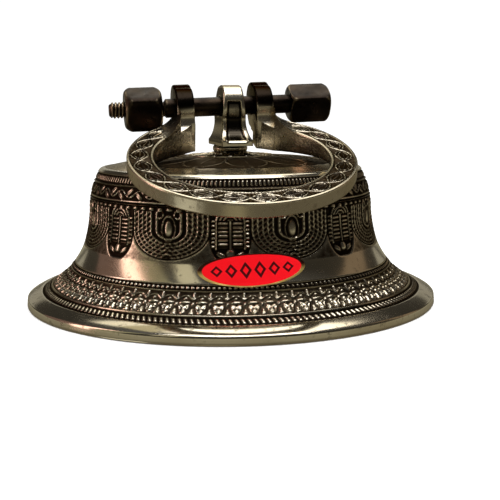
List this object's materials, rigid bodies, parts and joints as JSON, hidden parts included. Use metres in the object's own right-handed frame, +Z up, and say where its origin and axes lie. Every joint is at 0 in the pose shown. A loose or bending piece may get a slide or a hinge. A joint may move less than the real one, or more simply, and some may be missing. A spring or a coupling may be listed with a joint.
{
  "type": "brass puja bell",
  "caption": "Squat flared brass bell with a folding hanging ring on a cross bolt through a crown lug, and a loose clapper inside.",
  "frame": {"origin": "centre of the rim's bottom plane, on the bell's axis", "axes": "+Z up the bell's axis; X along the cross bolt, with the bolt's head on +X and its nut on -X; the folded ring points to -Y"},
  "size_m": [0.15, 0.15, 0.0793],
  "materials": {
    "bell_brass": "polished high spots, dark patina in the recesses",
    "lug_brass": "polished",
    "ring_brass": "polished sides, engraved top face",
    "bolt_bronze": "dark oxidised",
    "washer_steel": "satin",
    "nut_steel": "satin",
    "clapper_brass": "cast, slightly dull",
    "label_red": "gloss"
  },
  "bodies": {
    "bell": {"bell_shell": "bell_brass", "crown_lug": "lug_brass", "crown_washer": "washer_steel", "crown_nut": "nut_steel", "label_sticker": "label_red"},
    "ring": {"hanging_ring": "ring_brass"},
    "bolt": {"pivot_bolt": "bolt_bronze", "square_nut": "bolt_bronze"},
    "link": {"clapper_link": "clapper_brass"},
    "clapper": {"clapper_rod": "clapper_brass", "clapper_ball": "clapper_brass"}
  },
  "joints": [
    {"name": "ring_swing", "type": "hinge", "parent": "bell", "child": "ring", "pos_m": [0, 0, 0.0705], "axis": [-0.9995, 0, -0.0314], "range_deg": [0, 232]},
    {"name": "bolt_spin", "type": "hinge", "parent": "bell", "child": "bolt", "pos_m": [0, 0, 0.0705], "axis": [0.9995, 0, 0.0314], "continuous": true},
    {"name": "link_swing", "type": "hinge", "parent": "bell", "child": "link", "pos_m": [0, 0, 0.034], "axis": [1, 0, 0], "range_deg": [-122, 2]},
    {"name": "clapper_side", "type": "hinge", "parent": "link", "child": "clapper", "pos_m": [0, 0.00476, 0.03125], "axis": [0, 0.5, 0.866], "range_deg": [-20, 20]}
  ]
}
